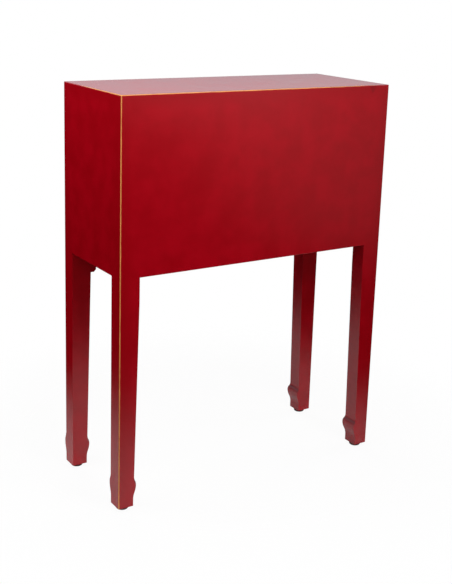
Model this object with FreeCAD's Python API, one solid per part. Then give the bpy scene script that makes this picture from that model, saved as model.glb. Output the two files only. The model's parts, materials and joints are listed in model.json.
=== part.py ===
"""A small lacquered wedding cabinet on hoof feet: two drawers over a pair of doors.

Millimetres. +Z is up, the front faces -Y, and left and right are as seen from the front.
The origin is on the floor, in the middle of the whole object's box.
The left half mirrors the right half, so most pieces are drawn once, on the +X side.
"""
import FreeCAD, Part
import math
import os

Vector = FreeCAD.Vector

# Overall cabinet
cabinet_width = 635.0
cabinet_depth = 252.0
cabinet_height = 830.0
arris_round = 1.6

# Legs and their hoof feet; seen from the front, each leg narrows to a shank above its hoof
leg_width = 42.0
leg_depth = 36.0
shank_width = 34.0
hoof_height = 63.0
hoof_crown_height = 45.0
hoof_swell = 4.4
toe_height = 14.0
toe_inset = 1.6
glide_height = 8.0
glide_radius = 12.5
glide_round = 3.0
glide_nail_radius = 2.0
glide_nail_length = 16.0

# Boards and panels of the box
top_thickness = 20.0
panel_thickness = 12.0
panel_tongue = 6.0
board_thickness = 12.0
housing_depth = 4.0

# Front rails and stile
rail_depth = 24.0
top_rail_height = 16.0
middle_rail_height = 18.0
bottom_rail_height = 20.0
stile_width = 20.0
tenon_length = 15.0
tenon_thickness = 10.0
tenon_shoulder = 3.0
stub_tenon = 6.0

# Apron under the front, with stepped corner brackets
apron_height = 22.0
apron_thickness = 18.0
apron_setback = 1.5
bracket_drop = 50.5
bracket_width = 20.0
bracket_shelf = 17.0
bracket_lip = 3.0
bracket_cove = 8.0
bracket_chamfer = 5.0

# Drawers
drawer_opening_height = 82.0
drawer_gap = 1.0
drawer_front_thickness = 17.0
drawer_side_thickness = 10.0
drawer_back_thickness = 9.0
drawer_bottom_thickness = 5.0
drawer_bottom_raise = 6.0
drawer_groove = 4.0
drawer_run_gap = 0.3
drawer_end_gap = 2.0
dovetail_count = 3
dovetail_length = 10.0
dovetail_width_share = 0.56
dovetail_neck_share = 0.72
guide_height = 20.0
kicker_width = 64.0

# Doors, hung on pivot pins in sockets of the rails
door_opening_height = 192.0
door_thickness = 18.0
door_gap = 1.0
meeting_gap = 1.0
outer_stile_width = 42.0
meeting_stile_width = 40.0
door_rail_height = 36.0
door_panel_thickness = 11.0
door_tongue = 6.0
door_tongue_thickness = 5.0
door_tenon_length = 20.0
door_tenon_shoulder = 8.0
pin_radius = 4.0
pin_clearance = 0.08
pin_in_stile = 14.0
pin_in_socket = 8.0
pin_end_gap = 0.3
stop_width = 70.0
stop_height = 12.0
stop_gap = 0.3

# Brass: the round lock plate in two halves, its staples, and the ring pulls
plate_radius = 52.0
plate_thickness = 1.5
plate_edge_bevel = 0.7
plate_line_depth = 0.5
plate_line_width = 1.2
plate_line_inset = 6.0
plate_split_gap = 2.0
staple_thickness = 2.6
staple_reach = 13.0
staple_height = 14.0
staple_hole_radius = 3.4
staple_offset = 7.5
staple_tang_height = 8.0
staple_tang_length = 10.0
ring_radius = 15.0
ring_wire_radius = 2.0
eye_clearance = 0.45
eye_wire_radius = 1.3
eye_shank_radius = 1.6
eye_shank_length = 12.0
door_pull_offset = 29.0
door_pull_rise = 7.0
drawer_pull_rise = 7.0
rosette_radius = 16.0
rosette_edge = 0.8
rosette_dome = 2.4
rosette_boss_radius = 6.5

# Cutting tools pass this far beyond what they cut
overrun = 1.0

# Places that follow from the sizes
half_width = cabinet_width / 2
eye_hole_radius = ring_wire_radius + eye_clearance
eye_loop_radius = eye_hole_radius + eye_wire_radius
eye_outer_radius = eye_loop_radius + eye_wire_radius
front_reach = max(plate_thickness + staple_reach, rosette_dome + 2 * eye_outer_radius, hoof_swell)
front_y = (front_reach - cabinet_depth) / 2
back_y = front_y + cabinet_depth
opening_half = half_width - leg_width
panel_inner_x = half_width - panel_thickness
panel_inner_y = back_y - panel_thickness
rail_back_y = front_y + rail_depth
leg_top = cabinet_height - top_thickness
drawer_top = leg_top - top_rail_height
deck_top = drawer_top - drawer_opening_height
door_top = deck_top - middle_rail_height
door_sill = door_top - door_opening_height
under_clearance = door_sill - bottom_rail_height
taper_top = under_clearance - bracket_drop
hoof_brow = hoof_height + glide_height
pivot_x = opening_half - door_gap - door_thickness / 2
pivot_y = front_y + door_thickness / 2
lock_z = (door_sill + door_top) / 2


def box(x0, x1, y0, y1, z0, z1):
    """A block between two values on each axis."""
    return Part.makeBox(x1 - x0, y1 - y0, z1 - z0, Vector(x0, y0, z0))


def mirrored(shape):
    """The left-hand twin of a right-hand piece."""
    return shape.mirror(Vector(0, 0, 0), Vector(1, 0, 0))


def save(name, *solids):
    """Write a node: one solid, or a group of like solids."""
    shape = solids[0] if len(solids) == 1 else Part.makeCompound(list(solids))
    shape.exportStep("parts/" + name + ".step")
    print(name, len(shape.Solids), round(shape.Volume))


def save_pair(name, right_shape):
    """Write the right-hand piece and its left-hand twin."""
    save("right_" + name, right_shape)
    save("left_" + name, mirrored(right_shape))


def corner_waste(x, y, toward_x, toward_y, z0, z1):
    """What rounding takes off a square upright corner at x, y."""
    reach = arris_round
    centre_x = x + toward_x * reach
    centre_y = y + toward_y * reach
    low_x, high_x = sorted((x - toward_x * overrun, centre_x))
    low_y, high_y = sorted((y - toward_y * overrun, centre_y))
    block = box(low_x, high_x, low_y, high_y, z0, z1)
    return block.cut(Part.makeCylinder(reach, z1 - z0, Vector(centre_x, centre_y, z0)))


def swell_edges(place, proud_high, z_high, proud_low, z_low):
    """A face that swells or draws in on its way down, upright at both ends: two arcs that meet."""
    rise, run = (proud_low - proud_high) / 2, (z_high - z_low) / 2
    radius = (rise ** 2 + run ** 2) / (2 * abs(rise))
    bow = math.copysign(radius - math.sqrt(radius ** 2 - (run / 2) ** 2), rise)
    start, end = place(proud_high, z_high), place(proud_low, z_low)
    middle = place(proud_high + rise, z_high - run)
    upper = Part.Arc(start, place(proud_high + bow, z_high - run / 2), middle)
    lower = Part.Arc(middle, place(proud_low - bow, z_low + run / 2), end)
    return [upper.toShape(), lower.toShape()]


def leg_profile(place, shank, neck):
    """One side view of a leg: upright on the outside; inside, a taper from the neck to the shank,
    a cove, the crown of the hoof and a drawn-in toe.

    place turns how far a point stands proud of the shank and how high it is into a 3-D point.
    """
    crown, toe = hoof_crown_height + glide_height, toe_height + glide_height
    top, taper, brow = place(neck - shank, leg_top), place(neck - shank, taper_top), place(0, hoof_brow)
    foot_toe, foot_plain = place(-toe_inset, glide_height), place(-shank, glide_height)
    edges = [Part.LineSegment(top, taper).toShape(), Part.LineSegment(taper, brow).toShape()]
    edges += swell_edges(place, 0, hoof_brow, hoof_swell, crown)
    edges += swell_edges(place, hoof_swell, crown, -toe_inset, toe)
    outline = [place(-toe_inset, toe), foot_toe, foot_plain, place(-shank, leg_top), top]
    edges += [Part.LineSegment(start, end).toShape() for start, end in zip(outline, outline[1:])]
    return Part.Face(Part.Wire(edges))


def leg(leg_front_y):
    """A right-hand leg whose hoof swells inward and to the front."""
    reach_x = max(hoof_swell, leg_width - shank_width) + overrun
    reach_y = hoof_swell + overrun
    shank_x = half_width - shank_width
    across = leg_profile(lambda proud, z: Vector(shank_x - proud, leg_front_y - reach_y, z),
                         shank_width, leg_width)
    across = across.extrude(Vector(0, leg_depth + reach_y, 0))
    along = leg_profile(lambda proud, z: Vector(shank_x - reach_x, leg_front_y - proud, z),
                        leg_depth, leg_depth)
    along = along.extrude(Vector(shank_width + reach_x, 0, 0))
    return across.common(along).removeSplitter()


def panel_board(x0, x1, y0, y1, along_x):
    """An upright panel with a tongue on each end, on the inner half of its thickness."""
    board = box(x0, x1, y0, y1, under_clearance, leg_top)
    if along_x:
        tongue = box(x0 - panel_tongue, x1 + panel_tongue, y0, (y0 + y1) / 2, under_clearance, leg_top)
    else:
        tongue = box(x0, (x0 + x1) / 2, y0 - panel_tongue, y1 + panel_tongue, under_clearance, leg_top)
    return board.fuse(tongue).removeSplitter()


def back_panel():
    return panel_board(-opening_half, opening_half, panel_inner_y, back_y, True)


def right_side_panel():
    return panel_board(panel_inner_x, half_width, front_y + leg_depth, back_y - leg_depth, False)


def inside_board(z_top, legs):
    """A level board housed in the side and back panels and notched round the legs."""
    reach_x = panel_inner_x + housing_depth
    reach_y = panel_inner_y + housing_depth
    board = box(-reach_x, reach_x, rail_back_y, reach_y, z_top - board_thickness, z_top)
    for one in legs:
        board = board.cut(one)
    return board


def top_board():
    """The flush top, with its outer arrises softened."""
    board = box(-half_width, half_width, front_y, back_y, leg_top, cabinet_height)
    low = [edge for edge in board.Edges if edge.BoundBox.ZMax < leg_top + top_thickness / 2]
    keep = [edge.hashCode() for edge in low]
    rounded = [edge for edge in board.Edges if edge.hashCode() not in keep]
    return board.makeFillet(min(arris_round, top_thickness / 4), rounded)


def front_rail(z0, height):
    """A rail across the front, tenoned into both legs."""
    shoulder = min(tenon_shoulder, height / 4)
    rail = box(-opening_half, opening_half, front_y, rail_back_y, z0, z0 + height)
    middle = (front_y + rail_back_y) / 2
    tenon = box(-opening_half - tenon_length, opening_half + tenon_length,
                middle - tenon_thickness / 2, middle + tenon_thickness / 2,
                z0 + shoulder, z0 + height - shoulder)
    return rail.fuse(tenon).removeSplitter()


def drawer_stile():
    """The short upright between the drawers, stub-tenoned into the rails."""
    body = box(-stile_width / 2, stile_width / 2, front_y, rail_back_y, deck_top, drawer_top)
    middle = (front_y + rail_back_y) / 2
    stub = box(-stile_width / 2 + tenon_shoulder, stile_width / 2 - tenon_shoulder,
               middle - tenon_thickness / 2, middle + tenon_thickness / 2,
               deck_top - stub_tenon, drawer_top + stub_tenon)
    return body.fuse(stub).removeSplitter()


def right_drawer_guide():
    """A batten on the deck that fills out the side to the line of the legs."""
    return box(opening_half, panel_inner_x, front_y + leg_depth, back_y - leg_depth,
               deck_top, deck_top + guide_height)


def centre_drawer_guide():
    return box(-stile_width / 2, stile_width / 2, rail_back_y, panel_inner_y,
               deck_top, deck_top + guide_height)


def centre_kicker():
    """The batten under the top that keeps both drawers from tipping."""
    return box(-kicker_width / 2, kicker_width / 2, rail_back_y, panel_inner_y, drawer_top, leg_top)


def apron_board():
    low = under_clearance - apron_height
    y0 = front_y + apron_setback
    return box(-opening_half, opening_half, y0, y0 + apron_thickness, low, under_clearance)


def right_bracket():
    """The stepped corner bracket: a lip and a cove, then a drop beside the leg."""
    y0 = front_y + apron_setback
    top = under_clearance - apron_height
    foot = under_clearance - bracket_drop
    inner = opening_half - bracket_width
    lip = top - bracket_lip
    cove_low = lip - bracket_cove
    rise = bracket_cove * (1 - math.sin(math.pi / 4))

    def place(x, z):
        return Vector(x, y0, z)

    cove_mid = place(inner - rise, cove_low + bracket_cove - rise)
    edges = [Part.LineSegment(place(opening_half, top), place(inner - bracket_shelf, top))]
    edges.append(Part.LineSegment(place(inner - bracket_shelf, top), place(inner - bracket_shelf, lip)))
    edges.append(Part.LineSegment(place(inner - bracket_shelf, lip), place(inner - bracket_cove, lip)))
    edges.append(Part.Arc(place(inner - bracket_cove, lip), cove_mid, place(inner, cove_low)))
    edges.append(Part.LineSegment(place(inner, cove_low), place(inner, foot + bracket_chamfer)))
    edges.append(Part.LineSegment(place(inner, foot + bracket_chamfer), place(inner + bracket_chamfer, foot)))
    edges.append(Part.LineSegment(place(inner + bracket_chamfer, foot), place(opening_half, foot)))
    edges.append(Part.LineSegment(place(opening_half, foot), place(opening_half, top)))
    face = Part.Face(Part.Wire([edge.toShape() for edge in edges]))
    return face.extrude(Vector(0, apron_thickness, 0))


def foot_glide(x, y):
    """A nail-on glide: a round pad with a softened lower rim and a nail up into the leg."""
    pad = Part.makeCylinder(glide_radius, glide_height, Vector(x, y, 0))
    rims = [edge for edge in pad.Edges if edge.BoundBox.ZMax < glide_height / 2]
    pad = pad.makeFillet(min(glide_round, glide_height / 2, glide_radius / 2), rims)
    nail = Part.makeCylinder(glide_nail_radius, glide_nail_length, Vector(x, y, glide_height))
    return pad.fuse(nail)


def glide_places():
    """The middle of each leg's foot, right and left, front and back."""
    x = half_width - shank_width / 2
    ys = (front_y + leg_depth / 2, back_y - leg_depth / 2)
    return [(side * x, y) for side in (1, -1) for y in ys]


def door_outer_stile():
    """The hanging stile, with a half-round edge that turns about the pivot."""
    z0, z1 = door_sill + door_gap, door_top - door_gap
    flat_width = outer_stile_width - door_thickness / 2
    stile = box(pivot_x - flat_width, pivot_x, front_y, front_y + door_thickness, z0, z1)
    edge = Part.makeCylinder(door_thickness / 2, z1 - z0, Vector(pivot_x, pivot_y, z0))
    return stile.fuse(edge).removeSplitter()


def door_meeting_stile():
    return box(meeting_gap / 2, meeting_gap / 2 + meeting_stile_width, front_y, front_y + door_thickness,
               door_sill + door_gap, door_top - door_gap)


def door_inside_x():
    """Where the door's rails and panel lie between its stiles."""
    return meeting_gap / 2 + meeting_stile_width, pivot_x + door_thickness / 2 - outer_stile_width


def door_rail(is_top):
    """A door rail with a tenon on each end, kept clear of the panel's tongue."""
    x0, x1 = door_inside_x()
    z1 = door_top - door_gap
    z0 = z1 - door_rail_height
    tenon_low, tenon_high = z0 + door_tenon_shoulder, z1 - tenon_shoulder
    if not is_top:
        z0 = door_sill + door_gap
        z1 = z0 + door_rail_height
        tenon_low, tenon_high = z0 + tenon_shoulder, z1 - door_tenon_shoulder
    rail = box(x0, x1, front_y, front_y + door_thickness, z0, z1)
    y1 = front_y + door_panel_thickness
    tenon = box(x0 - door_tenon_length, x1 + door_tenon_length,
                y1 - door_tongue_thickness, y1, tenon_low, tenon_high)
    return rail.fuse(tenon).removeSplitter()


def door_panel():
    """A panel flush with the front of its frame, tongued all round."""
    x0, x1 = door_inside_x()
    z0 = door_sill + door_gap + door_rail_height
    z1 = door_top - door_gap - door_rail_height
    y1 = front_y + door_panel_thickness
    panel = box(x0, x1, front_y, y1, z0, z1)
    tongue = box(x0 - door_tongue, x1 + door_tongue, y1 - door_tongue_thickness, y1,
                 z0 - door_tongue, z1 + door_tongue)
    return panel.fuse(tongue).removeSplitter()


def pivot_pin(z_face, up):
    """A pin set in the end of the outer stile, running in a socket of the rail."""
    length = pin_in_stile + door_gap + pin_in_socket
    z0 = z_face - pin_in_stile if up else z_face - door_gap - pin_in_socket
    return Part.makeCylinder(pin_radius, length, Vector(pivot_x, pivot_y, z0))


def pivot_pins():
    return [pivot_pin(door_top - door_gap, True), pivot_pin(door_sill + door_gap, False)]


def pivot_sockets():
    """The holes that the pins run in, for the middle and the bottom rail."""
    depth = pin_in_socket + pin_end_gap
    radius = pin_radius + pin_clearance
    upper = Part.makeCylinder(radius, depth + overrun, Vector(pivot_x, pivot_y, door_top - overrun))
    lower = Part.makeCylinder(radius, depth + overrun, Vector(pivot_x, pivot_y, door_sill - depth))
    return upper, lower


def door_stop():
    """A strip under the middle rail that the closed doors meet."""
    return box(-stop_width / 2, stop_width / 2, front_y + door_thickness + stop_gap, rail_back_y,
               door_top - stop_height, door_top)


def lock_plate():
    """Half of the round lock plate, with a bevelled rim and a cut line inside it."""
    face = front_y
    disc = Part.makeCylinder(plate_radius, plate_thickness, Vector(0, face, lock_z), Vector(0, -1, 0))
    rim = [edge for edge in disc.Edges if edge.BoundBox.YMax < face - plate_thickness / 2]
    disc = disc.makeChamfer(min(plate_edge_bevel, plate_thickness / 2), rim)
    outer = plate_radius - plate_line_inset
    depth = min(plate_line_depth, plate_thickness / 2)
    floor_y = face - plate_thickness + depth
    line = Part.makeCylinder(outer, depth + overrun, Vector(0, floor_y, lock_z), Vector(0, -1, 0))
    core = Part.makeCylinder(outer - plate_line_width, depth + overrun,
                             Vector(0, floor_y, lock_z), Vector(0, -1, 0))
    disc = disc.cut(line.cut(core))
    half = box(plate_split_gap / 2, plate_radius + overrun, face - plate_thickness - overrun, face + overrun,
               lock_z - plate_radius - overrun, lock_z + plate_radius + overrun)
    return disc.common(half)


def lock_staple():
    """A lug with a hole for the lock bar, its tang let into the door."""
    x0 = staple_offset - staple_thickness / 2
    x1 = staple_offset + staple_thickness / 2
    plate_y = front_y - plate_thickness
    nose = staple_height / 2
    nose_y = plate_y - staple_reach + nose
    lug = box(x0, x1, nose_y, plate_y, lock_z - nose, lock_z + nose)
    lug = lug.fuse(Part.makeCylinder(nose, staple_thickness, Vector(x0, nose_y, lock_z), Vector(1, 0, 0)))
    lug = lug.removeSplitter()
    hole = Part.makeCylinder(staple_hole_radius, staple_thickness + 2 * overrun,
                             Vector(x0 - overrun, nose_y, lock_z), Vector(1, 0, 0))
    tang = box(x0, x1, plate_y, front_y + staple_tang_length,
               lock_z - staple_tang_height / 2, lock_z + staple_tang_height / 2)
    return lug.cut(hole).fuse(tang).removeSplitter()


def pull_eye(x, z, seat_y):
    """The eye that a ring hangs in, with its shank driven into the wood behind."""
    centre = Vector(x, seat_y - eye_outer_radius, z)
    loop = Part.makeTorus(eye_loop_radius, eye_wire_radius, centre, Vector(1, 0, 0))
    start_y = centre.y + eye_loop_radius
    shank = Part.makeCylinder(eye_shank_radius, seat_y - start_y + front_y + eye_shank_length - seat_y,
                              Vector(x, start_y, z), Vector(0, 1, 0))
    return loop.fuse(shank)


def pull_ring(x, z, seat_y):
    """A ring that hangs from its eye."""
    centre = Vector(x, seat_y - eye_outer_radius, z - ring_radius)
    return Part.makeTorus(ring_radius, ring_wire_radius, centre, Vector(0, 1, 0))


def rosette(x, z):
    """A turned back plate: a thin rim, a low dome and a flat boss for the eye."""
    dome_start = rosette_radius - rosette_edge * 2
    rise = rosette_dome - rosette_edge
    bow = (dome_start + rosette_boss_radius) / 2

    def place(radius, proud):
        return Vector(x + radius, front_y - proud, z)

    edges = [Part.LineSegment(place(0, 0), place(rosette_radius, 0)),
             Part.LineSegment(place(rosette_radius, 0), place(rosette_radius, rosette_edge)),
             Part.LineSegment(place(rosette_radius, rosette_edge), place(dome_start, rosette_edge)),
             Part.Arc(place(dome_start, rosette_edge), place(bow, rosette_edge + rise * bow / dome_start),
                      place(rosette_boss_radius, rosette_dome)),
             Part.LineSegment(place(rosette_boss_radius, rosette_dome), place(0, rosette_dome)),
             Part.LineSegment(place(0, rosette_dome), place(0, 0))]
    face = Part.Face(Part.Wire([edge.toShape() for edge in edges]))
    return face.revolve(Vector(x, front_y, z), Vector(0, 1, 0), 360)


def drawer_span():
    """The right drawer from side to side, and its middle."""
    x0 = stile_width / 2 + drawer_gap
    x1 = opening_half - drawer_gap
    return x0, x1, (x0 + x1) / 2


def dovetails(x0, x1):
    """The tails on the front end of a drawer side."""
    z0, z1 = deck_top + drawer_gap, drawer_top - drawer_gap
    pitch = (z1 - z0) / dovetail_count
    wide = pitch * dovetail_width_share / 2
    neck = wide * dovetail_neck_share
    root_y = front_y + drawer_front_thickness
    tip_y = root_y - dovetail_length
    tails = []
    for index in range(dovetail_count):
        middle = z0 + pitch * (index + 0.5)
        points = [Vector(x0, root_y, middle - neck), Vector(x0, tip_y, middle - wide),
                  Vector(x0, tip_y, middle + wide), Vector(x0, root_y, middle + neck)]
        face = Part.Face(Part.makePolygon(points + [points[0]]))
        tails.append(face.extrude(Vector(x1 - x0, 0, 0)))
    return tails


def drawer_side(x0, x1):
    """A drawer side that runs on the deck, dovetailed into the front."""
    side = box(x0, x1, front_y + drawer_front_thickness, panel_inner_y - drawer_end_gap,
               deck_top + drawer_run_gap, drawer_top - drawer_gap)
    for tail in dovetails(x0, x1):
        side = side.fuse(tail)
    return side.removeSplitter()


def drawer_pieces():
    """The five boards of the right drawer."""
    x0, x1, middle = drawer_span()
    side_back = panel_inner_y - drawer_end_gap
    bottom_z = deck_top + drawer_run_gap + drawer_bottom_raise
    inner_x0, inner_x1 = x0 + drawer_side_thickness, x1 - drawer_side_thickness
    front = box(x0, x1, front_y, front_y + drawer_front_thickness,
                deck_top + drawer_gap, drawer_top - drawer_gap)
    inner_side = drawer_side(x0, inner_x0)
    outer_side = drawer_side(inner_x1, x1)
    bottom = box(inner_x0 - drawer_groove, inner_x1 + drawer_groove,
                 front_y + drawer_front_thickness - drawer_groove, side_back,
                 bottom_z, bottom_z + drawer_bottom_thickness)
    back = box(inner_x0, inner_x1, side_back - drawer_back_thickness, side_back,
               bottom_z + drawer_bottom_thickness, drawer_top - drawer_gap)
    inner_side, outer_side = inner_side.cut(bottom), outer_side.cut(bottom)
    front = front.cut(bottom).cut(inner_side).cut(outer_side)
    return {"drawer_front": front, "drawer_inner_side": inner_side, "drawer_outer_side": outer_side,
            "drawer_bottom": bottom, "drawer_back": back}


def drawer_pull_place():
    return drawer_span()[2], (deck_top + drawer_top) / 2 + drawer_pull_rise


def build_drawers():
    pieces = drawer_pieces()
    x, z = drawer_pull_place()
    seat_y = front_y - rosette_dome
    eye = pull_eye(x, z, seat_y)
    pieces["drawer_front"] = pieces["drawer_front"].cut(eye)
    pieces["drawer_rosette"] = rosette(x, z).cut(eye)
    pieces["drawer_pull_eye"] = eye
    pieces["drawer_pull_ring"] = pull_ring(x, z, seat_y)
    for name, shape in pieces.items():
        save_pair(name, shape)


def build_doors():
    seat_y = front_y - plate_thickness
    eye = pull_eye(door_pull_offset, lock_z + door_pull_rise, seat_y)
    staple = lock_staple()
    pins = pivot_pins()
    top_rail, low_rail, panel = door_rail(True), door_rail(False), door_panel()
    outer_stile, meeting_stile = door_outer_stile(), door_meeting_stile()
    for held in (top_rail, low_rail, panel):
        outer_stile = outer_stile.cut(held)
        meeting_stile = meeting_stile.cut(held)
    for held in (eye, staple):
        meeting_stile = meeting_stile.cut(held)
    for pin in pins:
        outer_stile = outer_stile.cut(pin)
    top_rail, low_rail = top_rail.cut(panel), low_rail.cut(panel)
    save_pair("door_outer_stile", outer_stile)
    save_pair("door_meeting_stile", meeting_stile)
    save_pair("door_top_rail", top_rail)
    save_pair("door_bottom_rail", low_rail)
    save_pair("door_panel", panel)
    save_pair("lock_plate", lock_plate().cut(eye).cut(staple))
    save_pair("lock_staple", staple)
    save_pair("door_pull_eye", eye)
    save_pair("door_pull_ring", pull_ring(door_pull_offset, lock_z + door_pull_rise, seat_y))
    save("right_pivot_pins", *pins)
    save("left_pivot_pins", *[mirrored(pin) for pin in pins])


def build_carcass():
    front_leg = leg(front_y)
    back_leg = leg(back_y - leg_depth)
    back, side = back_panel(), right_side_panel()
    both_legs = [front_leg, back_leg, mirrored(front_leg), mirrored(back_leg)]
    bottom = inside_board(door_sill, both_legs)
    deck = inside_board(deck_top, both_legs)
    stile = drawer_stile()
    upper, lower = pivot_sockets()
    top_rail = front_rail(drawer_top, top_rail_height)
    middle_rail = front_rail(door_top, middle_rail_height)
    bottom_rail = front_rail(under_clearance, bottom_rail_height)
    glides = [foot_glide(x, y) for x, y in glide_places()]
    for held in (back, side, top_rail, middle_rail, bottom_rail):
        front_leg, back_leg = front_leg.cut(held), back_leg.cut(held)
    for glide in glides:
        front_leg, back_leg = front_leg.cut(glide), back_leg.cut(glide)
    front_leg = front_leg.cut(corner_waste(half_width, front_y, -1, 1, hoof_brow, leg_top))
    back_leg = back_leg.cut(corner_waste(half_width, back_y, -1, -1, glide_height, leg_top))
    for board in (bottom, deck):
        back, side = back.cut(board), side.cut(board)
    top_rail = top_rail.cut(stile)
    middle_rail = middle_rail.cut(stile).cut(upper).cut(mirrored(upper))
    bottom_rail = bottom_rail.cut(lower).cut(mirrored(lower))
    save_pair("front_leg", front_leg)
    save_pair("back_leg", back_leg)
    save_pair("side_panel", side)
    save("back_panel", back)
    save("top_board", top_board())
    save("bottom_board", bottom)
    save("drawer_deck", deck)
    save("top_rail", top_rail)
    save("middle_rail", middle_rail)
    save("bottom_rail", bottom_rail)
    save("drawer_stile", stile)
    save_pair("drawer_guide", right_drawer_guide())
    save("centre_drawer_guide", centre_drawer_guide())
    save("centre_kicker", centre_kicker())
    save("door_stop", door_stop())
    save("apron_board", apron_board())
    save_pair("bracket", right_bracket())
    save("foot_glides", *glides)


os.makedirs("parts", exist_ok=True)
build_carcass()
build_drawers()
build_doors()
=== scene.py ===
# %% [markdown]
# # A lacquered wedding cabinet, dressed in Blender
# The cabinet's wood and brass come in at their true size and stay where they are.
# Each step below says what a piece or a finish is on the real thing, how it could be made,
# and why it is made this way here. All lengths are metres, +Z is up and the doors face -Y.

# %% Load the fixed frame
import bpy
import json
import math
from mathutils import Matrix, Vector


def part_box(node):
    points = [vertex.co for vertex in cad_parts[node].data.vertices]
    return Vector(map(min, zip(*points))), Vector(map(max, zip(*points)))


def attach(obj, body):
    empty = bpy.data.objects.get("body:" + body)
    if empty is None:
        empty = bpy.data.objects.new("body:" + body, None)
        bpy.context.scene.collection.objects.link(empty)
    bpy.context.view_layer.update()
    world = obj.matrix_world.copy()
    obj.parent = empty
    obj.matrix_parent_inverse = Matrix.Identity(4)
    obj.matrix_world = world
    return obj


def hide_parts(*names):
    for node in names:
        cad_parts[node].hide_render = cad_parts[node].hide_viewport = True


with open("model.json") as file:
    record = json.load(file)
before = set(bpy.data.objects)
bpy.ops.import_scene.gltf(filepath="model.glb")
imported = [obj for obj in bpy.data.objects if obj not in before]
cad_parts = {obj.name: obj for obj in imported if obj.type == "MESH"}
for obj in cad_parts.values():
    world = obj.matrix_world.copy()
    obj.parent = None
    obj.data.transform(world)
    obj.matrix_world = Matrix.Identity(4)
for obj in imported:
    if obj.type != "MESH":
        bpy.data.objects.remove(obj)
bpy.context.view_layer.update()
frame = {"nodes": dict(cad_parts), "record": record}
nodes = frame["nodes"]

# %% [markdown]
# ## Where things are
# The finishes need to know where the cabinet's corners, seams and door edges run. They are read
# from the pieces themselves, so that a worn corner stays on its corner when a size changes.

# %% Read the places that the finishes follow
mm = 0.001
top_low, top_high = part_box("top_board")
half_width = top_high.x
front_y, back_y = top_low.y, top_high.y
top_z = top_high.z
under_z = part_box("back_panel")[0].z
carcass_middle_y = (front_y + back_y) / 2
print("half width", round(half_width, 4), "front", round(front_y, 5), "back", round(back_y, 5))
print("top", round(top_z, 4), "underside of the box", round(under_z, 4))

# %% [markdown]
# ## The camera
# The photograph looks at the back and one narrow side from a little above the top. Its place and
# lens come from fitting the cabinet's corners, edges and feet to the picture. The picture was
# cropped after it was taken, so its optical centre lies above the middle. A small shift allows for that.

# %% Place the camera
picture_width, picture_height = 452, 584
focal_px = 1035.4
optical_centre_y_px = 224.55
sensor_mm = 36.0
camera_place = Vector((1.1690, carcass_middle_y + 1.7952, 1.0460))
camera_yaw, camera_pitch, camera_roll = -2.147, 0.2365, 0.0311

ahead = Vector((math.cos(camera_yaw) * math.cos(camera_pitch),
                math.sin(camera_yaw) * math.cos(camera_pitch), -math.sin(camera_pitch)))
level_right = Vector((math.sin(camera_yaw), -math.cos(camera_yaw), 0.0))
level_up = level_right.cross(ahead)
camera_right = level_right * math.cos(camera_roll) + level_up * math.sin(camera_roll)
camera_up = level_up * math.cos(camera_roll) - level_right * math.sin(camera_roll)

bpy.ops.object.camera_add(location=camera_place)
camera = bpy.context.object
camera.name = "camera"
camera.rotation_euler = Matrix((camera_right, camera_up, -ahead)).transposed().to_euler()
camera.data.sensor_width = sensor_mm
camera.data.lens = focal_px / picture_height * sensor_mm
camera.data.shift_y = (optical_centre_y_px - picture_height / 2) / picture_height
bpy.context.scene.camera = camera
print("picture", picture_width, "by", picture_height)
print("lens mm", round(camera.data.lens, 2), "shift", round(camera.data.shift_y, 3))

# %% [markdown]
# ## Shader maths as plain expressions
# A node tree is quicker to read as arithmetic. `Shade` wraps one output of a node, and adding or
# multiplying shades adds the Math nodes. `Nodes` adds any other node to a tree, and `Finish` is
# the tree of one material.

# %% Reckon with shades
def connect(tree, value, socket):
    """Link a shade to a socket, or set the socket to a plain value."""
    if isinstance(value, Shade):
        tree.links.new(value.socket, socket)
    else:
        socket.default_value = value


def calculate(tree, operation, *values):
    """A Math node on shades and numbers."""
    node = tree.nodes.new("ShaderNodeMath")
    node.operation = operation
    for value, socket in zip(values, node.inputs):
        connect(tree, value, socket)
    return Shade(tree, node.outputs[0])


class Shade:
    """One output of a node, with arithmetic."""

    def __init__(self, tree, socket):
        self.tree = tree
        self.socket = socket

    def __add__(self, other):
        return calculate(self.tree, "ADD", self, other)

    def __radd__(self, other):
        return calculate(self.tree, "ADD", other, self)

    def __sub__(self, other):
        return calculate(self.tree, "SUBTRACT", self, other)

    def __rsub__(self, other):
        return calculate(self.tree, "SUBTRACT", other, self)

    def __mul__(self, other):
        return calculate(self.tree, "MULTIPLY", self, other)

    def __rmul__(self, other):
        return calculate(self.tree, "MULTIPLY", other, self)

    def __abs__(self):
        return calculate(self.tree, "ABSOLUTE", self)

    def least(self, other):
        return calculate(self.tree, "MINIMUM", self, other)

    def most(self, other):
        return calculate(self.tree, "MAXIMUM", self, other)


print("beside + - and *, a shade has", [name for name in vars(Shade) if not name.startswith("_")])

# %% [markdown]
# A Mix node has a set of sockets for each kind of value, all with the same names. So those of its
# colours are picked by their number.

# %% Add any other node
mix_share, mix_first, mix_second, mix_result = 0, 6, 7, 2


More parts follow.
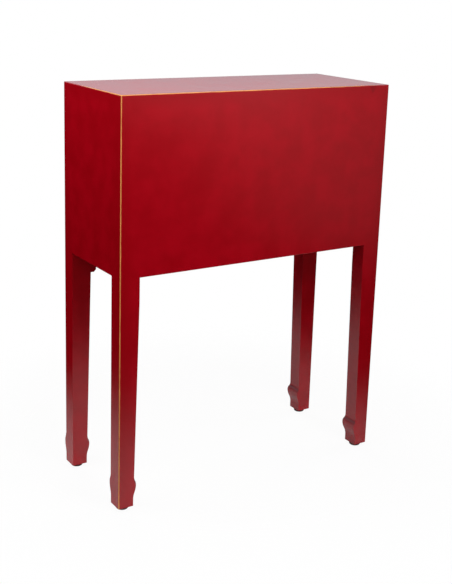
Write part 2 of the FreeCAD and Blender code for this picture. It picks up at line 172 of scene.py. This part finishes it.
class Nodes:
    """A node tree, with one method that adds any node to it."""

    def __init__(self, tree):
        self.tree = tree

    def add_node(self, kind, settings=None, inputs=None):
        """Any node, its settings first and then its inputs."""
        node = self.tree.nodes.new(kind)
        for name, value in (settings or {}).items():
            setattr(node, name, value)
        for name, value in (inputs or {}).items():
            connect(self.tree, value, node.inputs[name])
        return node

    def add(self, kind, settings=None, inputs=None, output=0):
        """Any node, for one of its outputs."""
        return Shade(self.tree, self.add_node(kind, settings, inputs).outputs[output])

    def split(self, vector):
        """The X, Y and Z of a vector."""
        node = self.add_node("ShaderNodeSeparateXYZ", {}, {"Vector": vector})
        return [Shade(self.tree, output) for output in node.outputs]

    def smooth(self, value, low, high):
        """0 below low and 1 above high, with a soft step between."""
        return self.add("ShaderNodeMapRange", {"interpolation_type": "SMOOTHSTEP"},
                        {"Value": value, "From Min": low, "From Max": high})

    def blend(self, share, first, second):
        """The colour that is first where share is 0 and second where it is 1."""
        colours = {mix_share: share, mix_first: first, mix_second: second}
        return self.add("ShaderNodeMix", {"data_type": "RGBA"}, colours, mix_result)


print("a node tree can", [name for name in vars(Nodes) if not name.startswith("_")])

# %% Hold one material
class Finish(Nodes):
    """One material, its Principled shader and the place of each point on the object."""

    def __init__(self, name):
        self.material = bpy.data.materials.new(name)
        self.material.use_nodes = True
        super().__init__(self.material.node_tree)
        self.shader = self.tree.nodes["Principled BSDF"]
        self.place = self.add("ShaderNodeTexCoord", output="Object")
        self.x, self.y, self.z = self.split(self.place)

    def clouds(self, per_metre, detail=2.0, stretch=(1.0, 1.0, 1.0)):
        """Noise from 0 to 1, with about per_metre blobs in a metre."""
        place = self.add("ShaderNodeMapping", {}, {"Vector": self.place, "Scale": stretch})
        return self.add("ShaderNodeTexNoise", {},
                        {"Vector": place, "Scale": per_metre, "Detail": detail}, "Fac")

    def bump(self, height, depth, below=None):
        """A normal from a height of 0 to 1 that is depth metres deep."""
        inputs = {"Height": height, "Distance": depth, "Strength": 1.0}
        if below:
            inputs["Normal"] = below
        return self.add("ShaderNodeBump", {}, inputs)

    def shine(self, **inputs):
        """Set the shader's sockets: base_color becomes Base Color."""
        for name, value in inputs.items():
            socket = self.shader.inputs[name.replace("_", " ").title().replace("Ior", "IOR")]
            connect(self.tree, value, socket)
        return self.material

    def layer(self, share, first, second):
        """The shader node that is first where share is 0 and second where it is 1."""
        mix = self.add_node("ShaderNodeMixShader", {}, {0: share})
        self.tree.links.new(first.outputs[0], mix.inputs[1])
        self.tree.links.new(second.outputs[0], mix.inputs[2])
        return mix


print("a finish also can", [name for name in vars(Finish) if not name.startswith("_")])

# %% [markdown]
# ## Red lacquer
# The real finish is a thin red lacquer over a sealed ground, cut back to a satin. Broad soft clouds
# in it come from hand rubbing, and every outer arris is rubbed through to a pale gold ground.
# A painted picture would do, but a pattern worked out from the place of each point has no seams
# and follows the real corners.

# %% Choose the lacquer's colours
lacquer_red = (0.415, 0.0004, 0.0070, 1.0)
lacquer_deep = (0.350, 0.0003, 0.0050, 1.0)
# The darkest red is painted shade in the hoof hollows and on the legs' inner faces, and it is also the
# colour of the small glossy wedge on the back.
shade_and_wedge_red = (0.090, 0.0010, 0.0040, 1.0)
lacquer_bright = (0.470, 0.0070, 0.0120, 1.0)
ground_gold = (0.740, 0.300, 0.075, 1.0)
print("red", lacquer_red[:3], "over gold", ground_gold[:3])

# %% Find the carcass's worn arrises
worn_width_carcass = 1.5 * mm
wear_from = Vector((-0.42, -0.14))
wear_full = Vector((-0.05, 0.12))
wear_trace = 0.12


def near_corner(finish):
    """How far a point is from the carcass's nearest outer arris."""
    from_side = abs(half_width - abs(finish.x))
    from_face = abs((finish.y - front_y).least(back_y - finish.y))
    upright = from_side.most(from_face)
    rim = (top_z - finish.z).most(from_side.least(from_face))
    return upright.least(rim)


def hand_wear(finish):
    """1 at the corner that hands brush past, falling to a trace at the other arrises."""
    along = finish.smooth(finish.x, wear_from.x, wear_full.x)
    deep = finish.smooth(finish.y, wear_from.y, wear_full.y)
    return wear_trace + along * deep * (1.0 - wear_trace)


print("the wear is full from x", round(wear_full.x, 3), "and y", round(wear_full.y, 3))

# %% [markdown]
# ### Where the red is deeper
# The hollow above each hoof and the faces of the legs that look at each other get painted shade: a darker
# red that stands in for the shade that falls there. One small glossy wedge high on the back is darker too.
# Each could be painted on. Here a mask finds it, from the place of a point or the way that its face looks.

# %% Find the painted shade in the hollows and on the inner faces of the legs
cove_low, cove_middle, cove_high = 0.053, 0.064, 0.078
cove_inside = half_width - 35.5 * mm
cove_fade = 1.5 * mm
facing_full, facing_none = -0.22, -0.10
under_fade = 2.0 * mm


def painted_cove_shade(finish):
    """1 in the hollow above each hoof's crown, on the legs' inner faces, where shade is painted into the
    red as a darker colour.
    """
    height = finish.smooth(finish.z, cove_low, cove_middle)
    height = height - finish.smooth(finish.z, cove_middle, cove_high)
    inside = 1.0 - finish.smooth(abs(finish.x), cove_inside, cove_inside + cove_fade)
    return height * inside


def painted_inside_shade(finish):
    """1 on the faces of the legs that look at each other, left and right, where shade is painted into the
    red as a darker colour.
    """
    normal = finish.add("ShaderNodeTexCoord", output="Normal")
    outward = finish.split(normal)[0] * finish.x
    facing_in = 1.0 - finish.smooth(outward, facing_full, facing_none)
    return facing_in * (1.0 - finish.smooth(finish.z, under_z - under_fade, under_z))


print("the hollow lies at", cove_middle, "and ends at x", round(cove_inside, 4))

# %% Find the glossy wedge on the back
mark_x, mark_z = -0.274, 0.814
mark_half_width = 3.0 * mm
mark_spread = 0.5
mark_side_fade = 3.0 * mm
mark_foot_fade = 2.0 * mm
mark_depth = 2.0 * mm


def glossy_mark(finish):
    """1 on a small wedge under the top edge of the back, where the red is darker and glossier."""
    reach = mark_half_width + (finish.z - mark_z) * mark_spread
    across = finish.smooth(reach - abs(finish.x - mark_x), 0.0, mark_side_fade)
    up = finish.smooth(finish.z, mark_z - mark_foot_fade, mark_z + mark_foot_fade)
    return across * up * finish.smooth(finish.y, back_y - mark_depth, back_y - mark_depth / 2)


print("the wedge stands at x", mark_x, "and z", mark_z)

# %% Find the worn arrises of doors and drawers
worn_width_leaf = 0.9 * mm
leaf_wear_per_metre = 9.0
leaf_wear_least = 0.5


def even_wear(finish):
    """Nearly the same wear on every arris of a door or a drawer front."""
    return finish.clouds(leaf_wear_per_metre) * (1.0 - leaf_wear_least) + leaf_wear_least


def near_leaf_edge(low, high):
    """How far a point is from the front arris of a drawer front or a door, on either side."""
    def measure(finish):
        across = (abs(finish.x) - low.x).least(high.x - abs(finish.x))
        up = (finish.z - low.z).least(high.z - finish.z)
        return across.least(up).most(finish.y - low.y)
    return measure


door_low, meeting_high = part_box("right_door_meeting_stile")
outer_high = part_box("right_door_outer_stile")[1]
door_high = Vector((outer_high.x, outer_high.y, meeting_high.z))
print("a door is", [round(side, 4) for side in door_high - door_low])

# %% [markdown]
# ### The coat itself
# The tone is mostly broad clouds, with upright streaks from the rubbing. A fine grain dulls the
# gloss a little, and a shallow swell bends what it mirrors. Near an arris the red is first deeper,
# then brighter where it thins, and then bare.

# %% Mix the red lacquer
cloud_per_metre, cloud_share = 26.0, 0.80
streak_per_metre, streak_share = 30.0, 0.20
streak_detail = 4.0
streak_stretch = (1.0, 1.0, 0.16)
grain_per_metre = 420.0
tone_deep, tone_red = 0.30, 0.70
band_start, band_width = 4.0 * mm, 34.0 * mm
# The shares of painted shade in the hollows and on the legs' inner faces, and of the wedge's darker red.
cove_shade_share, inside_shade_share, mark_share = 0.8, 0.45, 0.28
ragged_per_metre, ragged_detail = 45.0, 3.0
ragged_least, ragged_clouds, ragged_grain = 0.4, 0.9, 0.3
lifted_widths, lifted_share = 3.0, 0.35
bare_fade = 0.2 * mm
satin = 0.17
tone_dulls, grain_dulls, bare_dulls, mark_shines = 0.08, 0.05, 0.30, 0.10
swell_per_metre, swell_depth = 14.0, 0.25 * mm
grain_depth = 0.003 * mm


def red_lacquer(name, worn_edge, worn_width, wear):
    """Lacquer whose arrises are rubbed through where worn_edge says that one is near."""
    finish = Finish(name)
    grain = finish.clouds(grain_per_metre)
    tone = finish.clouds(cloud_per_metre) * cloud_share
    tone = tone + finish.clouds(streak_per_metre, streak_detail, streak_stretch) * streak_share
    colour = finish.blend(finish.smooth(tone, tone_deep, tone_red), lacquer_deep, lacquer_red)
    edge = worn_edge(finish)
    band = 1.0 - finish.smooth(edge, band_start, band_width)
    colour = finish.blend(band, colour, lacquer_deep)
    mark = glossy_mark(finish)
    # Painted shade goes into the hoof hollows and onto the legs' inner faces, and the glossy wedge on the
    # back is darkened too.
    darker = ((painted_cove_shade(finish), cove_shade_share), (painted_inside_shade(finish), inside_shade_share), (mark, mark_share))
    for place, share in darker:
        colour = finish.blend(place * share, colour, shade_and_wedge_red)
    handled = wear(finish)
    lifted = handled - handled * finish.smooth(edge, worn_width, worn_width * lifted_widths)
    colour = finish.blend(lifted * lifted_share, colour, lacquer_bright)
    ragged = ragged_least + finish.clouds(ragged_per_metre, ragged_detail) * ragged_clouds
    ragged = ragged + grain * ragged_grain
    bare = finish.smooth(handled * worn_width * ragged - edge, 0.0, bare_fade)
    colour = finish.blend(bare, colour, ground_gold)
    roughness = satin + tone * tone_dulls + grain * grain_dulls + bare * bare_dulls - mark * mark_shines
    skin = finish.bump(finish.clouds(swell_per_metre), swell_depth)
    skin = finish.bump(grain, grain_depth, skin)
    return finish.shine(base_color=colour, roughness=roughness, normal=skin)


carcass_lacquer = red_lacquer("carcass_lacquer", near_corner, worn_width_carcass, hand_wear)
door_lacquer = red_lacquer("door_lacquer", near_leaf_edge(door_low, door_high), worn_width_leaf, even_wear)
drawer_lacquer = red_lacquer("drawer_lacquer", near_leaf_edge(*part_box("right_drawer_front")),
                             worn_width_leaf, even_wear)
print("lacquers", carcass_lacquer.name, door_lacquer.name, drawer_lacquer.name)

# %% [markdown]
# ## Bare wood
# Inside, the boards are planed pale wood with a thin oil. The grain runs along each board, so one
# recipe is stretched along X for most of them and along Y for those that run from front to back.

# %% Plane the bare wood
wood_pale = (0.480, 0.300, 0.160, 1.0)
wood_dark = (0.270, 0.140, 0.065, 1.0)
wood_stretch = 0.05
ring_per_metre, ring_detail, ring_share = 48.0, 4.0, 0.8
fibre_per_metre, fibre_share = 700.0, 0.3
wood_tone_pale, wood_tone_dark = 0.38, 0.72
planed, fibre_dulls = 0.48, 0.2
fibre_depth = 0.08 * mm
oil_gloss = 0.35


def bare_wood(name, along):
    """Pale wood with its grain along one axis."""
    finish = Finish(name)
    stretch = tuple(wood_stretch if axis == along else 1.0 for axis in "xyz")
    fibre = finish.clouds(fibre_per_metre, 2.0, stretch)
    rings = finish.clouds(ring_per_metre, ring_detail, stretch)
    tone = finish.smooth(rings * ring_share + fibre * fibre_share, wood_tone_pale, wood_tone_dark)
    colour = finish.blend(tone, wood_pale, wood_dark)
    return finish.shine(base_color=colour, roughness=planed + fibre * fibre_dulls,
                        normal=finish.bump(fibre, fibre_depth), specular_ior_level=oil_gloss)


wood_along = {axis: bare_wood("bare_wood_" + axis, axis) for axis in "xy"}
print("woods", [wood.name for wood in wood_along.values()])

# %% [markdown]
# ## Brass, steel and the foot glides
# The fittings are aged brass: warm, brushed, and browner in clouds where the polish has gone. The
# doors turn on steel pins, and the cabinet stands on dark moulded glides.

# %% Polish the fittings
brass_bright = (0.700, 0.480, 0.190, 1.0)
brass_aged = (0.480, 0.310, 0.120, 1.0)
steel_grey = (0.450, 0.440, 0.430, 1.0)
steel_dark = (0.250, 0.245, 0.240, 1.0)
glide_brown = (0.030, 0.010, 0.008, 1.0)
glide_dusty = (0.050, 0.024, 0.020, 1.0)
patch_detail = 4.0
patch_low, patch_high = 0.35, 0.68
brushed_per_metre = 1800.0
brushed_stretch = (1.0, 1.0, 0.2)
patch_dulls, brushed_dulls = 0.18, 0.06


def plain_finish(name, first, second, per_metre, roughness, metallic, depth):
    """A finish of two tones in clouds, with a fine brushed relief."""
    finish = Finish(name)
    tone = finish.smooth(finish.clouds(per_metre, patch_detail), patch_low, patch_high)
    fine = finish.clouds(brushed_per_metre, 2.0, brushed_stretch)
    return finish.shine(base_color=finish.blend(tone, first, second),
                        roughness=roughness + tone * patch_dulls + fine * brushed_dulls,
                        metallic=metallic, normal=finish.bump(fine, depth))


brass = plain_finish("aged_brass", brass_bright, brass_aged, 55.0, 0.26, 1.0, 0.03 * mm)
steel = plain_finish("turned_steel", steel_grey, steel_dark, 200.0, 0.30, 1.0, 0.02 * mm)
glide_plastic = plain_finish("glide_plastic", glide_brown, glide_dusty, 60.0, 0.75, 0.0, 0.02 * mm)
print("fittings", brass.name, steel.name, glide_plastic.name)

# %% Give every node its finish
finishes = {"red_lacquer": carcass_lacquer, "brass": brass, "steel": steel, "glide": glide_plastic}
boards_along_y = ("drawer_guide", "centre_kicker", "drawer_inner_side", "drawer_outer_side")


def finish_of(node, slot):
    """The material of a node, from its slot and what kind of board it is."""
    kind = node.replace("left_", "").replace("right_", "")
    if slot == "bare_wood":
        return wood_along["y" if any(board in kind for board in boards_along_y) else "x"]
    if kind == "drawer_front":
        return drawer_lacquer
    if kind.startswith("door_") and slot == "red_lacquer":
        return door_lacquer
    return finishes[slot]


for row in frame["record"]["subparts"]:
    mesh = nodes[row["node"]].data
    mesh.materials.clear()
    mesh.materials.append(finish_of(row["node"], row["material_slot"]))

# %% [markdown]
# ## Soften the arrises
# A cabinet maker takes the sharpness off every exposed edge with a few strokes before lacquering.
# A copy of each piece has its loose triangles joined, and its exposed edges are then bevelled.
# Edges that lie flush against a neighbour stay sharp, or the seams would open. Weighted normals
# round the small bevels, and each broad face keeps its own normal, because where a bevel ends, the
# two faces beside it would otherwise share a slanting one. The bevel could be left to the shader,
# but then the edge would be missing from the exported model.

# %% Select the edges to round
sharp_angle = math.radians(30.0)


def edit(piece):
    """Make one piece the active one and enter edit mode on its edges with nothing selected."""
    bpy.ops.object.select_all(action="DESELECT")
    piece.select_set(True)
    bpy.context.view_layer.objects.active = piece
    bpy.ops.object.mode_set(mode="EDIT")
    bpy.context.tool_settings.mesh_select_mode = (False, True, False)


def pick_edges(piece, wanted):
    """Select the sharp edges of the piece whose two ends the test wants."""
    bpy.ops.mesh.select_all(action="DESELECT")
    bpy.ops.mesh.edges_select_sharp(sharpness=sharp_angle)
    bpy.ops.object.mode_set(mode="OBJECT")
    points = piece.data.vertices
    sharp = [edge for edge in piece.data.edges if edge.select]
    for part in list(points) + list(piece.data.edges) + list(piece.data.polygons):
        part.select = False
    for edge in sharp:
        ends = [points[index] for index in edge.vertices]
        if wanted(ends[0].co, ends[1].co):
            edge.select = ends[0].select = ends[1].select = True
    bpy.ops.object.mode_set(mode="EDIT")
    return piece.data.total_edge_sel


print("an edge is sharp from", round(math.degrees(sharp_angle)), "degrees")

# %% Keep the broad faces flat
broad_width = 4.0 * mm
broad_area = 300.0 * mm * mm


def keep_flat(mesh):
    """Give the corners of each broad face the normal of that face, so that it shades flat."""
    normals = [corner.vector.copy() for corner in mesh.corner_normals]
    for face in mesh.polygons:
        ends = [mesh.vertices[index].co for index in face.vertices]
        longest = max((first - second).length for first, second in zip(ends, ends[1:] + ends[:1]))
        if face.area > broad_area and face.area > broad_width * longest:
            for corner in face.loop_indices:
                normals[corner] = face.normal.copy()
    mesh.normals_split_custom_set(normals)


print("a face is broad from", broad_width, "wide")

# %% Round the edges of one piece
smooth_angle = math.radians(35.0)
flat_angle = math.radians(0.5)
weld_distance = 0.001 * mm
bevel_segments = 2
round_profile = 0.5
broad_face_weight = 100
bodies = frame["record"]["behaviour"]["bodies"]
body_of = {node: body for body, members in bodies.items() for node in members}


def softened(node, width, wanted, cut_z=None):
    """A copy of a CAD node whose wanted sharp edges are rounded; it takes the node's place."""
    piece = bpy.data.objects.new("softened_" + node, nodes[node].data.copy())
    bpy.context.collection.objects.link(piece)
    edit(piece)
    bpy.ops.mesh.select_all(action="SELECT")
    bpy.ops.mesh.remove_doubles(threshold=weld_distance)
    bpy.ops.mesh.dissolve_limited(angle_limit=flat_angle)
    bpy.ops.mesh.dissolve_degenerate(threshold=weld_distance)
    if cut_z is not None:
        bpy.ops.mesh.select_all(action="SELECT")
        bpy.ops.mesh.bisect(plane_co=(0.0, 0.0, cut_z), plane_no=(0.0, 0.0, 1.0))
    picked = pick_edges(piece, wanted)
    bpy.ops.mesh.bevel(offset=width, segments=bevel_segments, profile=round_profile, affect="EDGES",
                       clamp_overlap=True)
    bpy.ops.object.mode_set(mode="OBJECT")
    bpy.ops.object.shade_smooth_by_angle(angle=smooth_angle)
    bpy.ops.object.modifier_add(type="WEIGHTED_NORMAL")
    piece.modifiers[-1].keep_sharp = True
    piece.modifiers[-1].weight = broad_face_weight
    bpy.ops.object.modifier_apply(modifier=piece.modifiers[-1].name)
    keep_flat(piece.data)
    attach(piece, body_of[node])
    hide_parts(node)
    print(piece.name, "edges", picked, "faces", len(piece.data.polygons), "on", body_of[node])


# %% [markdown]
# ### Which edges are free
# Each test below is asked about one sharp edge, by its two ends. It knows the edge by the plane that
# it lies in, so that a seam between two boards is never taken for an arris.

# %% Tell the free edges from the seams
edge_reach = 0.05 * mm
x_axis, y_axis, z_axis = 0, 1, 2


def below_box(first, second):
    """Edges of a leg that stand free under the box, apart from its rounded outer corner."""
    free = max(first.z, second.z) < under_z + edge_reach
    return free and min(abs(first.x), abs(second.x)) < half_width - 2 * edge_reach


def on_face(y):
    """A test for edges in the upright plane at y."""
    def wanted(first, second):
        return abs(first.y - y) < edge_reach and abs(second.y - y) < edge_reach
    return wanted


def lies_at(first, second, axis, place):
    """Whether both ends of an edge lie at a place along an axis, on the left or on the right."""
    return all(abs(abs(end[axis]) - abs(place)) < edge_reach for end in (first, second))


def round_door(first, second):
    """Edges of the front face that run round a whole door, and not the seams between its boards."""
    rim = ((x_axis, door_low.x), (x_axis, door_high.x), (z_axis, door_low.z), (z_axis, door_high.z))
    in_front = lies_at(first, second, y_axis, door_low.y)
    return in_front and any(lies_at(first, second, *side) for side in rim)


def free_profile(node):
    """Edges of a bracket's front that hang free: not at the leg and not under the apron."""
    low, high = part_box(node)
    outer = max(abs(low.x), abs(high.x))
    def wanted(first, second):
        at_leg = lies_at(first, second, x_axis, outer)
        at_apron = lies_at(first, second, z_axis, high.z)
        return not at_leg and not at_apron and lies_at(first, second, y_axis, low.y)
    return wanted


def lower_arris(axis, place, bottom):
    """The bottom edge of a board in its outer face."""
    def wanted(first, second):
        return lies_at(first, second, axis, place) and lies_at(first, second, z_axis, bottom)
    return wanted


print("an edge lies in a plane within", edge_reach)

# %% Soften every exposed piece
leg_softening = 1.0 * mm
leaf_softening = 0.8 * mm

for side in ("left", "right"):
    for row in ("front", "back"):
        softened(side + "_" + row + "_leg", leg_softening, below_box, under_z)
    drawer_front = side + "_drawer_front"
    softened(drawer_front, leaf_softening, on_face(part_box(drawer_front)[0].y))
    for board in ("outer_stile", "meeting_stile", "top_rail", "bottom_rail"):
        softened(side + "_door_" + board, leaf_softening, round_door)
    softened(side + "_bracket", leaf_softening, free_profile(side + "_bracket"))
    softened(side + "_side_panel", leaf_softening, lower_arris(x_axis, half_width, under_z))
softened("back_panel", leaf_softening, lower_arris(y_axis, back_y, under_z))
apron_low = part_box("apron_board")[0]
softened("apron_board", leaf_softening, lower_arris(y_axis, apron_low.y, apron_low.z))

# %% [markdown]
# ## The studio
# The photograph is a cut-out on pure white. A pale round floor lies under the cabinet and thins out
# softly to its rim, and a white backdrop stands behind it above the horizon. So the foot of each leg
# picks up the floor, and the top the backdrop.

# %% Lay the floor
floor_radius = 0.84
floor_solid = 0.34
floor_rim_share = 0.98
floor_corners = 96
floor_middle = Vector((-0.06, -0.10, 0.0))
floor_white = (0.90, 0.90, 0.90, 1.0)
floor_roughness = 0.9
floor_glow_share = 0.94
plain_white = (1.0, 1.0, 1.0, 1.0)


def lay_floor():
    """A round floor that meets the white background with no edge, and keeps the shadow."""
    bpy.ops.mesh.primitive_circle_add(vertices=floor_corners, radius=floor_radius, fill_type="NGON",
                                      location=floor_middle)
    floor = bpy.context.object
    floor.name = "studio_floor"
    finish = Finish("studio_white")
    across = finish.add("ShaderNodeVectorMath", {"operation": "LENGTH"}, {0: finish.place}, "Value")
    rim = finish.smooth(across, floor_solid, floor_radius * floor_rim_share)
    finish.shine(base_color=floor_white, roughness=floor_roughness, specular_ior_level=0.0)
    glow = finish.add_node("ShaderNodeEmission", {}, {"Color": plain_white, "Strength": 1.0})
    clear = finish.add_node("ShaderNodeBsdfTransparent", {}, {"Color": plain_white})
    ray = finish.add("ShaderNodeLightPath", output="Is Camera Ray")
    lit = finish.layer(ray * floor_glow_share, finish.shader, glow)
    faded = finish.layer(rim, lit, clear)
    finish.tree.links.new(faded.outputs[0], finish.tree.nodes["Material Output"].inputs["Surface"])
    floor.data.materials.append(finish.material)


lay_floor()
print("floor radius", floor_radius, "solid to", floor_solid)

# %% [markdown]
# ### The room
# The camera sees plain white all round, and everything glossy sees it above the horizon. Diffuse
# light from the room is weak, because the lamps do that work, and a strong sky would flatten the
# shading.

# %% Paint the room
backdrop_rise = 0.15
sky_level = 0.08
cool_white = (0.98, 0.98, 1.05, 1.0)


def light_room():
    """A white background, a soft sky for diffuse light and a room that is dark below."""
    world = bpy.data.worlds.new("studio_room")
    bpy.context.scene.world = world
    world.use_nodes = True
    room = Nodes(world.node_tree)
    path = room.add_node("ShaderNodeLightPath")
    seen, mirrored, through = (Shade(room.tree, path.outputs["Is " + kind + " Ray"])
                               for kind in ("Camera", "Glossy", "Transmission"))
    glossy = mirrored + through
    height = room.split(room.add("ShaderNodeTexCoord", output="Generated"))[2]
    above = room.smooth(height, 0.0, backdrop_rise)
    strength = seen + (1.0 - seen) * above * (glossy + (1.0 - glossy) * sky_level)
    background = room.tree.nodes["Background"]
    connect(room.tree, strength, background.inputs["Strength"])
    connect(room.tree, room.blend(seen, cool_white, plain_white), background.inputs["Color"])


light_room()
print("sky level", sky_level)

# %% [markdown]
# ### The lamps
# The main soft lamps stand near, so their light falls off down the sides as it does in the
# photograph. Two weak lamps and a pale card on the floor stand further off. The back mirrors them as
# a soft haze at its top and its far end. The fill lamps light the front and the feet, so that the
# cabinet looks right from every side. The lamp over the back isn't mirrored, because from the front
# its image would burn a white patch into the top.

# %% Hang the lamps
cabinet_heart = Vector((0.0, carcass_middle_y, 0.60))


def softbox(name, place, side, watts, mirrored=True, toward=cabinet_heart):
    """A soft square lamp that faces the cabinet's box, and may be left out of its mirror images."""
    place = Vector(place)
    bpy.ops.object.light_add(type="AREA", location=place)
    lamp = bpy.context.object
    lamp.name = name
    lamp.data.name = name
    lamp.data.size = side
    lamp.data.energy = watts
    lamp.visible_camera = False
    lamp.visible_glossy = mirrored
    lamp.rotation_euler = (toward - place).to_track_quat("-Z", "Y").to_euler()


softbox("side_softbox", (0.95, -0.06, 1.28), 0.8, 7.7)
softbox("corner_softbox", (0.9, 0.7, 1.3), 0.8, 1.6)
softbox("back_softbox", (0.05, 0.9, 1.30), 0.8, 10.2, mirrored=False)
softbox("low_softbox", (-1.97, 2.33, 0.62), 1.15, 1.05)
softbox("upper_softbox", (-1.42, 2.72, 0.90), 0.9, 1.5)
softbox("floor_card", (-1.75, 1.95, 0.01), 0.9, 0.6, toward=Vector((-1.75, 1.95, 1.0)))
softbox("low_side_fill", (0.75, -0.10, 0.12), 0.3, 0.35, mirrored=False)
softbox("low_back_fill", (0.45, 0.70, 0.15), 0.3, 0.5, mirrored=False)
softbox("front_fill", (-0.3, -1.7, 1.0), 1.0, 14.0, mirrored=False)
softbox("far_side_fill", (-1.9, 0.0, 0.9), 1.0, 13.0, mirrored=False)
print("lights", [lamp.name for lamp in bpy.data.lights])

# %% [markdown]
# ## The settings that every render keeps
# The colours are shown as they are, with the Standard view.

# %% Settle the view
bpy.context.scene.view_settings.view_transform = "Standard"
